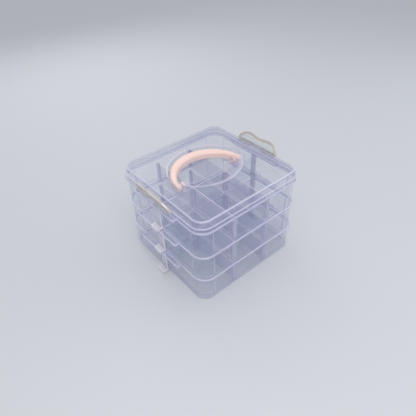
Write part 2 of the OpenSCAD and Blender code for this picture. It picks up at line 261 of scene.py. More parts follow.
def carry(path, out, section, sectionOut, glow):
    # A section of (inset, height) goes along a closed level path: a point is the path's point, moved
    # against the path's outward normal by the inset, at that height. Level caps close the section's ends.
    rows, columns = len(section), len(path)
    verts = withHeight(path[None] - out[None] * section[:, 0, None, None], section[:, 1])
    normals = withHeight(out[None] * sectionOut[:, 0, None, None], sectionOut[:, 1])
    first = list(range(columns))
    last = list(range((rows - 1) * columns, rows * columns))
    faces = gridFaces(rows, columns)
    faces.append(first[::-1] if sectionOut[0, 1] < 0 else first)
    faces.append(last if sectionOut[-1, 1] > 0 else last[::-1])
    return dict(verts=verts, normals=normals, faces=faces, glow=np.repeat(glow, columns))


def softBox(low, high, edge, glow):
    # A box with round edges: points on a grid of the six sides are pulled in to the smaller box that lies
    # the edge's radius inside, and pushed out again by that radius along the way they came. The glow is a
    # function of the points.
    low, high = np.array(low, float), np.array(high, float)
    middle, half = (low + high) / 2, (high - low) / 2
    edge = min(edge, half.min() * 0.9)  # the roundings of two sides never quite meet
    bendLine = edge * 0.45
    fadeLine, leastFlat = edge + 0.6, edge + 0.8
    lines = []
    for h in half:
        rim = [-h, bendLine - h, edge - h] + ([fadeLine - h] if h > leastFlat else [])
        lines.append(np.array(rim + [-x for x in rim[::-1]]))
    verts, faces, start = [], [], 0
    for axis in range(3):
        u, v = (axis + 1) % 3, (axis + 2) % 3
        gu, gv = np.meshgrid(lines[u], lines[v], indexing="ij")
        for side in (-1, 1):
            at = np.empty(gu.shape + (3,))
            at[..., axis], at[..., u], at[..., v] = side * half[axis], gu, gv
            verts.append(at.reshape(-1, 3))
            quads = np.array(gridFaces(len(lines[u]), len(lines[v]), wrapColumns=False)) + start
            faces.append(quads if side < 0 else quads[:, ::-1])
            start += gu.size
    at = np.concatenate(verts)
    inner = np.clip(at, edge - half, half - edge)
    normals = unit(at - inner)
    at = inner + normals * edge + middle
    _, first, index = np.unique(np.round(at, 5), axis=0, return_index=True, return_inverse=True)
    faces = index.reshape(-1)[np.concatenate(faces)]
    return dict(verts=at[first], normals=normals[first], faces=faces.tolist(), glow=glow(at[first]))


def spin(profile, out, axis, glow=0.0, steps=32):
    # A profile of (along, radius) goes round an axis: the other two coordinates are the radius times the
    # cosine and the sine of the turn. Flat caps close its two ends.
    turn = np.linspace(0, 2 * math.pi, steps, endpoint=False)
    a, b = (axis + 1) % 3, (axis + 2) % 3
    rows = len(profile)
    verts, normals = np.zeros((rows, steps, 3)), np.zeros((rows, steps, 3))
    for grid, line in ((verts, profile), (normals, out)):
        grid[..., axis] = line[:, :1]
        grid[..., a], grid[..., b] = line[:, 1:] * np.cos(turn), line[:, 1:] * np.sin(turn)
    faces = [f[::-1] for f in gridFaces(rows, steps)]
    faces += [list(range(steps)), list(range((rows - 1) * steps, rows * steps))[::-1]]
    return dict(verts=verts.reshape(-1, 3), normals=normals.reshape(-1, 3), faces=faces,
                glow=np.full(rows * steps, float(glow)))


def moved(part, matrix=None, shift=(0, 0, 0)):
    # the part turned or mirrored by a 3x3 matrix and then shifted; a mirror turns its faces round
    m = np.eye(3) if matrix is None else np.array(matrix, float)
    faces = part["faces"] if np.linalg.det(m) > 0 else [f[::-1] for f in part["faces"]]
    return dict(verts=part["verts"] @ m.T + np.array(shift, float), normals=part["normals"] @ m.T,
                faces=faces, glow=part["glow"])


def turnAbout(axis, degrees):
    # a right-handed turn about X, Y or Z
    c, s = math.cos(degrees * rad), math.sin(degrees * rad)
    m = np.eye(3)
    a, b = (axis + 1) % 3, (axis + 2) % 3
    m[a, a], m[a, b], m[b, a], m[b, b] = c, -s, s, c
    return m


asItIs = np.eye(3)
mirrorX = np.diag([-1.0, 1, 1])
mirrorY = np.diag([1.0, -1, 1])


def evenGlow(amount):
    # the same glow at every point: a denser haze and a painted highlight all over
    return lambda v: np.full(len(v), amount)


def edgeGlow(axis, low, high, reach, least=0.0):
    # painted edge highlight and denser haze: full glow at the two limits along one axis, down to the least
    # glow at the given reach from both
    def shine(v):
        near = np.minimum(v[:, axis] - low, high - v[:, axis])
        return np.clip(1 - near / reach, least, 1)
    return shine


def makePiece(node, parts, material):
    # Joins the parts into one mesh in metres, with their exact normals and the glow, the mask of denser haze
    # and painted edge highlight, as an attribute, and puts it in the place of the model's node of that name.
    start, faces = 0, []
    for part in parts:
        faces += [[i + start for i in face] for face in part["faces"]]
        start += len(part["verts"])
    verts = np.concatenate([part["verts"] for part in parts]) * mm
    normals = unit(np.concatenate([part["normals"] for part in parts]))
    glow = np.concatenate([part["glow"] for part in parts])
    mesh = bpy.data.meshes.new(node + "_shell")
    mesh.from_pydata(verts.tolist(), [], faces)
    mesh.attributes.new("glow", "FLOAT", "POINT").data.foreach_set("value", glow.astype(np.float32))
    mesh.shade_smooth()
    mesh.normals_split_custom_set_from_vertices(normals.tolist())
    mesh.materials.append(material)
    piece = bpy.data.objects.new(node + "_shell", mesh)
    bpy.context.scene.collection.objects.link(piece)
    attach(piece, frame["nodes"][node]["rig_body"])
    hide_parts(node)


# Trays: one shell swept round a square, with its inner wall, slot ribs and side shelves

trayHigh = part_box("tray_bottom")[1]
traySet = dict(
    rim=trayHigh.y / mm,
    shelf=trayHigh.x / mm,
    rimTop=trayHigh.z / mm,
    pitch=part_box("tray_middle")[0].z / mm,
    rimCorner=16.9,
    lipOut=2.0,
    lipDrop=1.3,
    wall=1.6,
    footIn=1.0,
    footHeight=5.5,
    mouthGap=0.7,
    panelIn=0.4,
    panelEnd=58.5,
    panelLow=6.5,
    panelTop=33.0,
    panelSlope=0.4,  # of the panel's upper and lower ends
    panelStep=0.5,  # half the width of the step at its left and right ends
    # painted highlight on the outer wall at the panel's two ends, where its steps are
    panelGlow=0.9,
    capInset=13.5,
    middleWall=1.5,
    middleEdge=0.4,
    slotX=25.4,
    slotHalf=0.85,
    rib=1.5,
    ribOut=2.0,
    ribEdge=0.35,
    # the least glow anywhere on a rib: a painted highlight that lightens the ribs against their shade
    ribGlow=0.8,
    tipReach=1.0,
    middleReach=1.2,
    sunkFloor=0.2,  # how far walls and ribs run into what they stand on
    sunkMiddle=0.1,
    sunkWall=0.6,
    dividerTop=32.0,
    shelfHalf=38.0,
    shelfDrop=3.5,
    shelfWall=1.6,
    shelfRound=3.0,
    shelfRoot=1.4,
    shelfCap=2.4,
    shelfUnder=2.5,
)


def trayShell(t):
    # The section runs from the middle of the base out, up the foot and the wall, over the lip and down
    # inside to the floor; the wall's outer face is set in between the panel's ends.
    wall, pitch, top = t["rim"] - t["lipOut"], t["pitch"], t["rimTop"]
    foot, thick = wall - t["footIn"], t["wall"]
    mouth, step, lip = foot + t["mouthGap"], t["footHeight"], pitch - t["lipDrop"]
    # the glow column: a denser haze and a painted edge highlight, strongest on the rim's top
    table = np.array([  # half width, height, radius, glow
        (t["rim"] - t["capInset"], 0, 0, 0), (foot, 0, 1.2, 0.55), (foot, step, 0.25, 0.2),
        (wall, step, 0.35, 0.7), (wall, lip, 0.3, 0.1), (t["rim"], lip, 0.5, 0.25), (t["rim"], top, 0.9, 0.9),
        (mouth, top, 0.45, 0.6), (mouth, pitch, 0.2, 0.2), (wall - thick, pitch, 0.4, 0.3),
        (wall - thick, step + thick, 0.5, 0.15), (foot - thick, step + thick, 0.4, 0.15),
        (foot - thick, thick, 1.3, 0.25), (t["rim"] - t["capInset"], thick, 0, 0)])
    section, out, glow = roundPath(table[:, :2], table[:, 2], table[:, 3], closed=False)
    faceOut = out[:, 0] > 0.99

    # four more points on the wall's outer face, where the panel's slopes begin and end
    low, high, slope = t["panelLow"], t["panelTop"], t["panelSlope"]
    ends = [(wall, z) for z in (low, low + slope, high - slope, high)]
    onWall = np.flatnonzero((np.abs(section[:, 0] - wall) < 0.01) & faceOut)
    cut = onWall[section[onWall, 1] < high / 2][-1] + 1
    section = np.insert(section, [cut] * 4, ends, 0)
    out = np.insert(out, [cut] * 4, [(1, 0)] * 4, 0)
    glow = np.insert(glow, [cut] * 4, [0] * 4)
    order = np.arange(len(section))
    span = slice(cut - 2, cut + 6)
    order[span] = order[span][np.argsort(section[span, 1], kind="stable")]
    section, out, glow = section[order], out[order], glow[order]

    end, w = t["panelEnd"], t["panelStep"]
    steps = np.array([-3, -1, 0, 1, 3]) * w
    path, pathOut = squarePath(t["rim"], t["rimCorner"], np.concatenate([steps - end, steps + end]))
    section[:, 0] = t["rim"] - section[:, 0]
    part = carry(path, pathOut, section, out, glow)

    # the panel: where the section, the height and the place along the side all lie within its ends
    grid = (len(section), len(path))
    height = section[:, 1]
    fromEnd = end - np.abs(np.where(np.abs(pathOut[:, 0]) > 0.99, path[:, 1], path[:, 0]))
    flatSide = np.abs(pathOut).max(1) > 0.999
    inPanel = np.clip(fromEnd / (2 * w) + 0.5, 0, 1) * flatSide
    inHeight = np.clip((height - low) / slope, 0, 1) * np.clip((high - height) / slope, 0, 1)
    outerWall = (np.abs(section[:, 0] - t["lipOut"]) < 0.01) * (out[:, 0] > 0.99) * inHeight
    verts = part["verts"].reshape(*grid, 3)
    verts[..., :2] -= (t["panelIn"] * outerWall[:, None] * inPanel)[..., None] * pathOut
    # painted highlight down the steps at the panel's ends
    nearEnd = np.clip(1 - np.abs(fromEnd) / (3 * w), 0, 1) * flatSide
    shine = part["glow"].reshape(grid) + t["panelGlow"] * nearEnd * (outerWall > 0.5)[:, None]
    part.update(verts=verts.reshape(-1, 3), glow=shine.reshape(-1))
    return part


def trayShelf(t):
    # A round-cornered ledge beside the wall: its section runs out under the top, down inside the edge,
    # round the edge's foot, up its outer face and back in over the top.
    x0, x1, y = t["rim"] - t["lipOut"] - t["shelfRoot"], t["shelf"], t["shelfHalf"]
    path, out, _ = roundPath([(x0, -y), (x1, -y), (x1, y), (x0, y)], [t["shelfRound"]] * 4, steps=8)
    top, low, w = t["rimTop"], t["rimTop"] - t["shelfDrop"], t["shelfWall"]
    section, sectionOut, glow = roundSection([
        (t["shelfUnder"], top - w, 0, 0), (w, top - w, 0.3, 0), (w, low, 0.3, 0.4), (0, low, 0.4, 0.6),
        (0, top, 0.6, 1), (t["shelfCap"], top, 0, 0)])
    return carry(path, out, section, sectionOut, glow)


def slotRibs(t):
    # pairs of upright ribs that hold a divider's end, beside the middle wall and at the outer wall
    inner = t["rim"] - t["lipOut"] - t["footIn"] - t["wall"]
    half, top, low = t["middleWall"] / 2, t["dividerTop"], t["wall"] - t["sunkFloor"]
    tip = edgeGlow(2, -math.inf, top, t["tipReach"], t["ribGlow"])
    spans = ((half - t["sunkMiddle"], half + t["ribOut"]), (inner - t["ribOut"], inner + t["sunkWall"]))
    ribs = []
    for x in (-t["slotX"], t["slotX"]):
        for side in (-1, 1):
            x0 = x + side * (t["slotHalf"] + t["rib"] / 2) - t["rib"] / 2
            for y0, y1 in [*spans, *((-far, -near) for near, far in spans)]:
                ribs.append(softBox((x0, y0, low), (x0 + t["rib"], y1, top), t["ribEdge"], tip))
    return ribs


def trayParts(t, level):
    # the shell, the wall across its middle, the ribs and a ledge on each side, raised to the tray's level
    across = t["rim"] - t["lipOut"] - t["wall"] + t["sunkWall"]
    half, top, low = t["middleWall"] / 2, t["dividerTop"], t["wall"] - t["sunkFloor"]
    tip = edgeGlow(2, -math.inf, top, t["middleReach"])
    middle = softBox((-across, -half, low), (across, half, top), t["middleEdge"], tip)
    parts = [trayShell(t), middle, *slotRibs(t), trayShelf(t), moved(trayShelf(t), mirrorX)]
    return [moved(part, shift=(0, 0, level * t["pitch"])) for part in parts]


# Dividers: loose plates with a cut lower corner, held between the ribs

dividerSet = dict(thick=1.5, gap=0.1, cut=1.6, topCut=0.8, edge=0.35, outlineRound=0.6, capInset=0.55)


def dividerPart(t, d):
    # the plate's outline, seen along X, carries a section across its thickness; the outline's edge gets a
    # painted highlight and a denser haze
    y0, y1 = t["middleWall"] / 2 + d["gap"], t["rim"] - t["lipOut"] - t["footIn"] - t["wall"] - d["gap"]
    z0, z1 = t["wall"], t["dividerTop"]
    cut, topCut = d["cut"], d["topCut"]
    outline = [(y0, z0), (y1 - cut, z0), (y1, z0 + cut), (y1, z1 - topCut), (y1 - topCut, z1), (y0, z1)]
    path, out, _ = roundPath(outline, [d["outlineRound"]] * 6, steps=3, fade=2)
    e, w, cap = d["edge"], d["thick"], d["capInset"]
    section = roundSection([(cap, 0, 0, 0.3), (0, 0, e, 0.9), (0, w, e, 0.9), (cap, w, 0, 0.3)], fade=0.5)
    upright = [[0, 0, 1], [1, 0, 0], [0, 1, 0]]  # the outline's plane to Y and Z, its thickness to X
    return moved(carry(path, out, *section), upright, (t["slotX"] - w / 2, 0, 0))


# Clips: a springy tongue with a ribbed thumb tab over the shelf below

clipSet = dict(
    tongue=9.0,
    tongueThick=1.6,
    tongueEdge=0.35,
    tongueReach=1.2,
    wallGap=0.2,
    tab=14.0,
    tabThick=2.8,
    tabLow=1.8,
    tabCap=1.4,
    corner=1.5,
    gap=0.3,
    lip=1.5,
    lipLow=0.2,
    lipUp=0.8,
    lipEdge=0.45,
    lipGlow=0.9,
    ribs=3,
    ribFrom=1.2,
    ribStep=2.0,
    ribWide=0.9,
    ribHigh=0.6,
    ribEdge=0.3,
    ribGlow=1.0,
    gusset=(0.8, 1.0, 6.0),
    sunk=0.2,  # how far ribs and gussets run into the tab
    # the least glow anywhere on the clip, so that all of it carries some painted highlight
    glow=0.6,
)


def clipParts(t, c):
    # A tongue hangs beside the wall and ends in a tab, a round-cornered plate that reaches past the shelf.
    # The lip below the tab's end, the grip ribs on it and the two gussets are boxes set from its edges. All
    # of it glows with a denser haze and a painted whitish highlight, strongest on the edges, lip and ribs.
    x0 = t["rim"] - t["lipOut"] + c["wallGap"]
    tip = t["shelf"] + c["gap"] + c["lip"]
    low, top, half = c["tabLow"], c["tabLow"] + c["tabThick"], c["tab"] / 2
    tongueTop = t["rimTop"] - t["shelfDrop"] - c["gap"]
    side, outer, across = c["tongue"] / 2, x0 + c["tongueThick"], half - c["corner"]
    sides = edgeGlow(1, -side, side, c["tongueReach"], c["glow"])
    tongue = softBox((x0, -side, low), (outer, side, tongueTop), c["tongueEdge"], sides)
    corners = [(x0, -half), (tip, -half), (tip, half), (x0, half)]
    path, out, _ = roundPath(corners, [c["corner"]] * 4, steps=6)
    cap = c["tabCap"]
    table = [(cap, low, 0, 0.5), (0, low, 0.4, 0.9), (0, top, 0.5, 1), (cap, top, 0, 0.5)]
    section, sectionOut, glow = roundSection(table, fade=0.6)
    tab = carry(path, out, section, sectionOut, np.maximum(glow, c["glow"]))
    lip = softBox((tip - c["lip"], -across, c["lipLow"]), (tip, across, low + c["lipUp"]), c["lipEdge"],
                  evenGlow(c["lipGlow"]))
    parts = [tongue, tab, lip]
    for i in range(c["ribs"]):
        x = outer + c["ribFrom"] + i * c["ribStep"]
        parts.append(softBox((x, -across, top - c["sunk"]), (x + c["ribWide"], across, top + c["ribHigh"]),
                             c["ribEdge"], evenGlow(c["ribGlow"])))
    gx, gy, gz = c["gusset"]
    for y in (-side, side - gy):
        parts.append(softBox((outer - c["sunk"], y, top - c["sunk"]), (outer + gx, y + gy, top + gz),
                             c["ribEdge"], evenGlow(c["glow"])))
    return parts


# Handle: a bow between two circles, hollow below, with an eye and a stub at each end

handleSet = dict(
    half=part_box("handle")[1].x / mm,
    reach=44.8,
    endWide=6.0,
    gripWide=10.8,
    thick=8.4,
    wall=1.9,
    hollowRoof=2.3,
    tilt=1.5,
    pivotZ=112.7,
    edge=2.8,
    underEdge=0.6,
    hollowEdge=0.5,
    roofEdge=0.8,
    crown=0.5,
    overrun=0.01,  # of the bow past its pivots, as a share of its length
    bowPoints=97,
    eyeExtra=0.3,
    eyeGap=0.2,
    eyeCap=1.2,
    stub=3.5,
    stubIn=38.2,
    stubCap=0.9,
)


def arcThrough(w, b):
    # the circle through (0, b) and (w, 0): its middle on Y and its radius
    middle = (b * b - w * w) / (2 * b)
    return middle, b - middle


def handleBow(h):
    # Outer and inner points lie on two circles at equal shares of their arcs; the section's own corners
    # keep their radii, while its sides follow the two points. The grip is an upside-down channel.
    share = np.linspace(-h["overrun"], 1 + h["overrun"], h["bowPoints"])
    ends = []
    for w, b in ((h["half"], h["reach"]), (h["half"] - h["endWide"], h["reach"] - h["gripWide"])):
        middle, radius = arcThrough(w, b)
        start = math.atan2(-middle, w)
        angle = start + (math.pi - 2 * start) * share
        ends.append(np.stack([radius * np.cos(angle), middle + radius * np.sin(angle)], 1))
    outer, inner = ends
    across = unit(outer - inner)
    wide = np.linalg.norm(outer - inner, axis=1)
    half = h["thick"] / 2
    ref = 20.0  # a reference width, taken out again below, so that the roundings keep their size
    hollow, roof = ref - h["wall"], half - h["hollowRoof"]
    corners = [(ref, -half), (ref, half), (-ref, half), (-ref, -half),
               (-hollow, -half), (-hollow, roof), (hollow, roof), (hollow, -half)]
    radii = [h[k] for k in ("underEdge", "edge", "edge", "underEdge",
                            "hollowEdge", "roofEdge", "roofEdge", "hollowEdge")]
    points, out, _ = roundPath(corners, radii, steps=6, fade=0.5)
    side = np.sign(points[:, 0])
    a = side[:, None] * (wide / 2)[None] + (points[:, 0] - side * ref)[:, None]
    lift = h["crown"] * np.clip(points[:, 1] / half, 0, 1)[:, None] * (1 - (2 * a / wide[None]) ** 2)
    flat = (outer + inner)[None] / 2 + across[None] * a[..., None]
    verts = np.concatenate([flat, (points[:, 1:] + lift)[..., None]], -1)
    normals = withHeight(across[None] * out[:, :1, None], out[:, 1])
    rows, columns = verts.shape[:2]
    faces = gridFaces(rows, columns, wrapRows=True, wrapColumns=False)
    ring = np.arange(rows) * columns
    faces += [ring.tolist(), (ring + columns - 1)[::-1].tolist()]
    return dict(verts=verts.reshape(-1, 3), normals=normals, faces=faces, glow=np.zeros(rows * columns))


def handleEye(h):
    # an eye and its stub, turned about X: a stepped profile with small roundings
    r, stub, inner = h["thick"] / 2 + h["eyeExtra"], h["stub"] / 2, h["half"] - h["endWide"] - h["eyeGap"]
    table = np.array([  # along, radius, rounding
        (h["half"], h["eyeCap"], 0), (h["half"], r, 1.4), (inner, r, 0.9),
        (inner, stub, 0.3), (h["stubIn"], stub, 0.3), (h["stubIn"], h["stubCap"], 0)])
    points, out, _ = roundPath(table[:, :2], table[:, 2], steps=5, closed=False)
    return spin(points, out, 0)


def handleParts(h):
    # the bow and its two eyes, tilted a little about the pivots
    tilt = turnAbout(0, h["tilt"])
    parts = [handleBow(h), handleEye(h), moved(handleEye(h), mirrorX)]
    return [moved(part, tilt, (0, 0, h["pivotZ"])) for part in parts]


# Latches: a plate with two lobes and a thick edge, a hook, and hinge barrels beside the lid's lug

latchSet = dict(
    half=33.5,
    lobe=16.7,
    reach=13.9,
    dip=2.2,
    power=1.7,
    footRound=3.8,
    footZ=1.6,
    outlinePoints=180,
    thick=1.2,
    bead=1.6,
    beadHigh=1.0,
    beadFrom=1.0,
    beadRise=1.5,
    band=2.8,
    plateCap=3.7,
    glows=(1, 0.9, 0.15),  # at the edge, at the band's inner side and on the plate: a painted cream highlight on the bead
    plateOff=1.3,
    barrel=4.4,
    barrelHalf=28.0,
    barrelCap=0.8,
    barrelGlow=0.35,
    pin=2.6,
    pinLong=4.3,
    notchHalf=9.8,
    hookIn=1.6,
    hookOut=0.6,
    hookHalf=24.0,
    hookZ=9.8,
    hookThick=1.4,
    hookEdge=0.4,
    hookGlow=0.45,
    pivot=(82.0, 0.0, 114.0),
    open=157,
)


def latchOutline(c):
    # From the middle of each half the reach rises by a cosine to the lobe, then falls as a quarter of a
    # superellipse to a round foot; the whole is resampled to even steps, the normals are its slope turned.
    y = np.linspace(0, c["lobe"], 30)
    rise = np.stack([y, c["reach"] - c["dip"] * (1 + np.cos(math.pi * y / c["lobe"])) / 2], 1)
    turn = np.linspace(0, math.pi / 2, 40)[1:]
    fall = np.stack([c["lobe"] + (c["half"] - c["lobe"]) * np.sin(turn) ** (2 / c["power"]),
                     c["reach"] * np.abs(np.cos(turn)) ** (2 / c["power"])], 1)
    right = np.concatenate([rise, fall])
    angle = np.linspace(math.pi / 2, math.pi, 8)
    foot = np.stack([np.sin(angle), np.cos(angle)], 1) * c["footRound"]
    foot += [c["half"] - c["footRound"], c["footZ"]]
    right = np.concatenate([right[right[:, 1] > c["footZ"]], foot])
    loop = np.concatenate([right * [-1, 1], right[::-1]])
    closed = np.concatenate([loop, loop[:1]])
    length = np.concatenate([[0], np.cumsum(np.linalg.norm(np.diff(closed, axis=0), axis=1))])
    even = np.linspace(0, length[-1], c["outlinePoints"], endpoint=False)
    path = np.stack([np.interp(even, length, closed[:, k]) for k in (0, 1)], 1)
    slope = unit(np.roll(path, -1, 0) - np.roll(path, 1, 0))
    return path, np.stack([slope[:, 1], -slope[:, 0]], 1)


def latchPlate(c):
    # the outline carries a section with a raised bead, which runs out level with the plate at the hinge
    path, out = latchOutline(c)
    thick, high, bead, cap = c["thick"], c["thick"] + c["beadHigh"], c["bead"], c["plateCap"]
    section, sectionOut, _ = roundSection([
        (cap, 0, 0, 0), (0, 0, 0.3, 0), (0, high, 0.5, 0), (bead, high, 0.4, 0),
        (bead, thick, 0.3, 0), (cap, thick, 0, 0)], fade=0.5)
    # the bead's painted cream highlight, with a denser haze, fades from the edge in to the plate
    glow = np.interp(section[:, 0], [0, c["band"], cap], c["glows"])
    part = carry(path, out, section, sectionOut, glow)
    verts = part["verts"].reshape(len(section), len(path), 3)
    keep = np.clip((path[:, 1] - c["beadFrom"]) / c["beadRise"], 0, 1)
    verts[..., 2] -= np.clip(verts[..., 2] - thick, 0, None) * (1 - keep)
    part["verts"] = verts.reshape(-1, 3)
    hang = [[0, 0, 1], [1, 0, 0], [0, -1, 0]]  # across to Y, reach to -Z, thickness to X
    return moved(part, hang, (c["plateOff"], 0, 0))


def latchParts(c):
    # built hanging closed at its pivot, and then swung open
    off, z = c["plateOff"], -c["hookZ"]
    hook = softBox((off - c["hookIn"], -c["hookHalf"], z - c["hookThick"]),
                   (off + c["hookOut"], c["hookHalf"], z), c["hookEdge"], evenGlow(c["hookGlow"]))
    r, p, n, cap, end = c["barrel"] / 2, c["pin"] / 2, c["notchHalf"], c["barrelCap"], c["barrelHalf"]
    table = np.array([  # along, radius, rounding
        (end, cap, 0), (end, r, 0.8), (n, r, 0.4), (n, p, 0.2),
        (n - c["pinLong"], p, 0.3), (n - c["pinLong"], cap, 0)])
    points, out, _ = roundPath(table[:, :2], table[:, 2], closed=False)
    barrel = spin(points, out, 1, c["barrelGlow"])
    swing = turnAbout(1, -c["open"])
    return [moved(part, swing, c["pivot"]) for part in (latchPlate(c), hook, barrel, moved(barrel, mirrorY))]


# Finishes: hazy clear plastic with a painted highlight on its edges, and the handle's satin cream

def newGroup(name, inputs, outputs):
    # a node group with named inputs and outputs, and the two nodes that carry them
    group = bpy.data.node_groups.new(name, "ShaderNodeTree")
    for label, kind, value in inputs:
        socket = group.interface.new_socket(label, in_out="INPUT", socket_type=kind)
        socket.default_value = value
    for label, kind in outputs:
        group.interface.new_socket(label, in_out="OUTPUT", socket_type=kind)
    return group, group.nodes.new("NodeGroupInput"), group.nodes.new("NodeGroupOutput")


def setSocket(tree, socket, value):
    # another node's output is linked, and anything else is a plain value
    if isinstance(value, bpy.types.NodeSocket):
        tree.links.new(value, socket)
    else:
        socket.default_value = value


def addNode(tree, kind, settings=None, **inputs):
    # a node with its settings, and its inputs by name with _ for a blank, or by number as i0, i1
    node = tree.nodes.new(kind)
    for key, value in (settings or {}).items():
        setattr(node, key, value)
    for key, value in inputs.items():
        numbered = key[0] == "i" and key[1:].isdigit()
        setSocket(tree, node.inputs[int(key[1:]) if numbered else key.replace("_", " ")], value)
    return node


def mathNode(tree, operation, a, b=0.0, clamp=False):
    # one step of arithmetic on outputs or plain numbers
    return addNode(tree, "ShaderNodeMath", dict(operation=operation, use_clamp=clamp), i0=a, i1=b).outputs[0]


def mixColor(tree, factor, a, b):
    # the colour a where the factor is 0, and b where it is 1
    node = addNode(tree, "ShaderNodeMix", dict(data_type="RGBA"), Factor=factor)
    for socket, value in zip([s for s in node.inputs if s.type == "RGBA"], (a, b)):
        setSocket(tree, socket, value)
    return [s for s in node.outputs if s.type == "RGBA"][0]


def noise(tree, place, scale, detail, **more):
    # a cloudy value from 0 to 1 that changes with the place
    node = addNode(tree, "ShaderNodeTexNoise", Vector=place, Scale=scale, Detail=detail, **more)
    return node.outputs["Fac"]


def mapRange(tree, value, fromRange, toRange):
    # the value, stretched evenly from one range to the other
    return addNode(tree, "ShaderNodeMapRange", Value=value, From_Min=fromRange[0], From_Max=fromRange[1],
                   To_Min=toRange[0], To_Max=toRange[1]).outputs[0]


def hazeGroup():
    # Clear plastic that scatters a little light: cloudy flow marks and a fine grain vary the haze and the
    # gloss, and the glow mask mixes in the denser haze of an edge seen along its thickness and its lighter
    # colour, a painted highlight of the light that the edges catch.
    group, put, get = newGroup("moulded_haze", [
        ("Glow", "NodeSocketFloat", 0.0), ("Face", "NodeSocketColor", (0.5, 0.5, 0.5, 1)),
        ("Edge", "NodeSocketColor", (0.8, 0.8, 0.8, 1)), ("Face Haze", "NodeSocketFloat", 0.1),
        ("Edge Haze", "NodeSocketFloat", 0.6), ("Cloud Scale", "NodeSocketFloat", 30.0),
        ("Grain Scale", "NodeSocketFloat", 900.0), ("Gloss", "NodeSocketFloat", 0.2)],
        [("Color", "NodeSocketColor"), ("Alpha", "NodeSocketFloat"), ("Roughness", "NodeSocketFloat"),
         ("Height", "NodeSocketFloat")])
    given = put.outputs
    place = addNode(group, "ShaderNodeTexCoord").outputs["Object"]
    cloud = noise(group, place, given["Cloud Scale"], 3.0, Roughness=0.55, Distortion=0.6)
    grain = noise(group, place, given["Grain Scale"], 2.0)
    patch = mapRange(group, cloud, (0.3, 0.7), (0.75, 1.3))
    speck = mapRange(group, grain, (0.35, 0.65), (0.9, 1.12))
    uneven = mathNode(group, "MULTIPLY", patch, speck)
    face = mathNode(group, "MULTIPLY", given["Face Haze"], uneven)
    span = mathNode(group, "SUBTRACT", given["Edge Haze"], face)
    results = dict(
        Color=mixColor(group, given["Glow"], given["Face"], given["Edge"]),
        Alpha=mathNode(group, "ADD", face, mathNode(group, "MULTIPLY", span, given["Glow"]), clamp=True),
        Roughness=mathNode(group, "MULTIPLY", given["Gloss"], uneven, clamp=True),
        Height=mathNode(group, "ADD", cloud, mathNode(group, "MULTIPLY", grain, 0.12)),
    )
    for label, value in results.items():
        group.links.new(value, get.inputs[label])
    return group


haze = hazeGroup()
plasticSet = dict(ior=2.2, gloss=0.2, bump=0.12, bumpHeight=0.0006)


def newSkin(name):
    mat = bpy.data.materials.new(name)
    mat.use_nodes = True
    return mat, mat.node_tree, mat.node_tree.nodes["Principled BSDF"]


def hazeMaterial(name, face, edge, faceHaze, edgeHaze, lookFrom=None):
    # the haze group with one part's face colour, painted edge highlight and densities; its glow is the
    # mesh's, or worked out
    mat, tree, skin = newSkin(name)
    p = plasticSet
    if lookFrom:
        glow, edge = lookFrom(tree, edge)
    else:
        glow = addNode(tree, "ShaderNodeAttribute", dict(attribute_name="glow")).outputs["Fac"]
    mix = addNode(tree, "ShaderNodeGroup", dict(node_tree=haze), Glow=glow, Face=face, Edge=edge,
                  Face_Haze=faceHaze, Edge_Haze=edgeHaze, Gloss=p["gloss"])
    relief = addNode(tree, "ShaderNodeBump", Height=mix.outputs["Height"], Strength=p["bump"],
                     Distance=p["bumpHeight"])
    for label, value in (("Base Color", "Color"), ("Alpha", "Alpha"), ("Roughness", "Roughness")):
        tree.links.new(mix.outputs[value], skin.inputs[label])
    tree.links.new(relief.outputs["Normal"], skin.inputs["Normal"])
    skin.inputs["IOR"].default_value = p["ior"]
    return mat


creamSet = dict(
    low=fromSrgb(240, 210, 201),
    high=fromSrgb(246, 218, 209),
    cloudScale=60.0,
    grainScale=1400.0,
    roughness=(0.34, 0.48),
    bump=0.12,
    bumpHeight=0.0002,
    under=0.15,  # light that travels below the surface
    underDepth=0.002,
    underReach=(1.0, 0.7, 0.6),
)


def handleMaterial(c):
    # satin cream: faint mottling in colour and gloss, a trace of light under the surface
    mat, tree, skin = newSkin("handle_cream")
    place = addNode(tree, "ShaderNodeTexCoord").outputs["Object"]
    cloud = noise(tree, place, c["cloudScale"], 3.0)
    grain = noise(tree, place, c["grainScale"], 2.0)
    tree.links.new(mixColor(tree, cloud, c["low"], c["high"]), skin.inputs["Base Color"])
    tree.links.new(mapRange(tree, grain, (0.0, 1.0), c["roughness"]), skin.inputs["Roughness"])
    relief = addNode(tree, "ShaderNodeBump", Height=grain, Strength=c["bump"], Distance=c["bumpHeight"])
    tree.links.new(relief.outputs["Normal"], skin.inputs["Normal"])
    skin.inputs["Subsurface Weight"].default_value = c["under"]
    skin.inputs["Subsurface Scale"].default_value = c["underDepth"]
    skin.inputs["Subsurface Radius"].default_value = c["underReach"]
    return mat


# Lid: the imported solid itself, with its bright lines painted from the place alone

lidSet = dict(
    plate=73.65,
    flange=77.35,
    corner=16.9,
    cornerCut=2.0,  # the bright lines turn a little tighter than the flange
    plateTop=120.9,
    plateDrop=0.5,
    flangeTop=114.4,
    flangeDrop=0.4,
    rim=108.5,
    shoulderOut=1.5,
    shoulderDrop=3.5,
    wellHalf=51.4,
    wellReach=47.0,
    wellFloor=107.9,
    wellFrontY=85.0,
    wellFrontRadius=87.0,
    rampRadius=51.0,
    rampBand=3.2,
    rampY=16.0,
    rearFade=4.0,  # millimetres behind the middle, over which the well's line comes in
    frontFade=8.0,
    lineCurve=0.6,
    # a painted pinkish glow on the lid round each handle pivot
    earX=39.6,
    earZ=112.7,
    earHalf=4.2,
    earReach=4.0,
    earGain=8.0,
    earGlow=0.9,
    earGlowColor=fromSrgb(248, 226, 226),
)


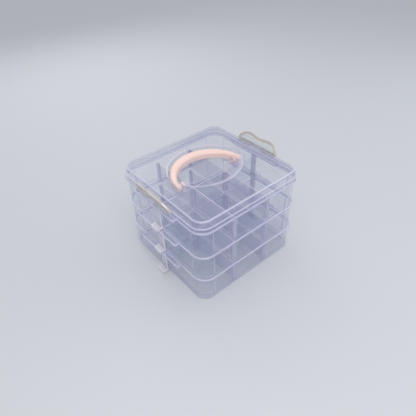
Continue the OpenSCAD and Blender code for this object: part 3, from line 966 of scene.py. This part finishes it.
def lidHighlights(tree, edge):
    # Half the width of the round-cornered square through a point is the corner's middle plus the length
    # of what lies beyond it. A line is where that width and the height are both near the edge's own, and
    # a ring is where the distance from its middle and the height are. Lines and rings are painted highlights.
    c = lidSet
    flat = ((c["plate"] + c["flange"]) / 2 - (c["corner"] - c["cornerCut"])) * mm

    def times(a, b, clamp=False):
        return mathNode(tree, "MULTIPLY", a, b, clamp)

    def length(a, b):
        return mathNode(tree, "SQRT", mathNode(tree, "ADD", times(a, a), times(b, b)))

    def near(value, at, reach):
        away = mathNode(tree, "ABSOLUTE", mathNode(tree, "SUBTRACT", value, at * mm))
        return mathNode(tree, "SUBTRACT", 1.0, mathNode(tree, "DIVIDE", away, reach * mm), clamp=True)

    place = addNode(tree, "ShaderNodeTexCoord").outputs["Object"]
    x, y, z = addNode(tree, "ShaderNodeSeparateXYZ", Vector=place).outputs
    sizeX, sizeY = mathNode(tree, "ABSOLUTE", x), mathNode(tree, "ABSOLUTE", y)
    past = [mathNode(tree, "SUBTRACT", size, flat) for size in (sizeX, sizeY)]
    beyond = [mathNode(tree, "MAXIMUM", size, 0.0) for size in past]
    width = mathNode(tree, "ADD", length(*beyond), flat)

    def line(half, height, amount, reach=1.3):
        both = times(near(width, half, reach), near(z, height, reach))
        return times(mathNode(tree, "POWER", both, c["lineCurve"]), amount)

    def ring(middle, radius, amount, gate, reach=1.3, height=c["plateTop"], tall=2.5):
        away = length(x, mathNode(tree, "SUBTRACT", y, middle * mm))
        both = times(near(away, radius, reach), near(z, height, tall))
        return times(times(mathNode(tree, "POWER", both, c["lineCurve"]), gate), amount)

    wellY, wellRadius = arcThrough(c["wellHalf"], c["wellReach"])
    rear = times(y, 1 / (c["rearFade"] * mm), clamp=True)
    front = times(y, -1 / (c["frontFade"] * mm), clamp=True)
    # painted highlights: bright lines on the lid's edges and round the well and the ramp, soft lighter bands
    # under the plate's edge and inside the ramp
    glows = [
        line(c["plate"], c["plateTop"] - c["plateDrop"], amount=1.5, reach=1.6),
        line(c["flange"], c["flangeTop"] - c["flangeDrop"], amount=1.2),
        line(c["flange"], c["rim"], amount=1.0),
        line(c["plate"] + c["shoulderOut"], c["plateTop"] - c["shoulderDrop"], amount=0.35, reach=5.0),
        ring(wellY, wellRadius, amount=1.2, gate=rear, reach=1.6),
        ring(c["rampY"], c["rampRadius"], amount=0.8, gate=front),
        ring(c["rampY"], c["rampRadius"] - c["rampBand"], amount=0.9, gate=front, reach=4.0, tall=6.0),
        ring(c["wellFrontY"], c["wellFrontRadius"], amount=0.9, gate=1.0, reach=1.5, height=c["wellFloor"],
             tall=1.5),
    ]
    # a painted pinkish glow round each handle pivot, in its own colour
    ear = times(near(y, 0, 2 * c["earHalf"]), near(z, c["earZ"], 2 * c["earHalf"]))
    ear = times(times(ear, near(sizeX, c["earX"], c["earReach"])), c["earGain"], clamp=True)
    total = glows[0]
    for glow in (*glows[1:], times(ear, c["earGlow"])):
        total = mathNode(tree, "ADD", total, glow, clamp=True)
    return total, mixColor(tree, ear, edge, c["earGlowColor"])


# the edge colours are painted highlights, lighter than the plastic's own face colours
faceBlue, edgeHighlightBlue = fromSrgb(156, 172, 208), fromSrgb(218, 212, 236)
materials = dict(  # colour of faces and painted highlight colour of edges, haze of faces and of edges
    tray=hazeMaterial("tray_haze", faceBlue, edgeHighlightBlue, 0.07, 0.64),
    divider=hazeMaterial("divider_haze", fromSrgb(170, 178, 208), fromSrgb(240, 226, 238), 0.07, 0.7),
    lid=hazeMaterial("lid_haze", fromSrgb(162, 170, 202), edgeHighlightBlue, 0.08, 0.66, lookFrom=lidHighlights),
    clip=hazeMaterial("clip_haze", fromSrgb(146, 164, 192), fromSrgb(246, 243, 250), 0.26, 0.8),
    latch=hazeMaterial("latch_haze", fromSrgb(180, 190, 194), fromSrgb(212, 200, 187), 0.12, 0.72),
    handle=handleMaterial(creamSet),
)
print("finishes made")

for level, tier in enumerate(("bottom", "middle", "top")):
    makePiece("tray_" + tier, trayParts(traySet, level), materials["tray"])
    rise = (0, 0, level * traySet["pitch"])
    for side, mx in (("left", mirrorX), ("right", asItIs)):
        clip = [moved(part, mx, rise) for part in clipParts(traySet, clipSet)]
        makePiece("clip_" + tier + "_" + side, clip, materials["clip"])
        for end, my in (("front", mirrorY), ("rear", asItIs)):
            plate = moved(dividerPart(traySet, dividerSet), mx @ my, rise)
            makePiece("_".join(("divider", tier, side, end)), [plate], materials["divider"])
print("trays, dividers and clips made")

makePiece("handle", handleParts(handleSet), materials["handle"])
latch = latchParts(latchSet)
makePiece("latch_right", latch, materials["latch"])
makePiece("latch_left", [moved(part, mirrorX) for part in latch], materials["latch"])
lid = frame["nodes"]["lid"]
lid.data.materials.clear()
lid.data.materials.append(materials["lid"])
print("handle, latches and lid made")
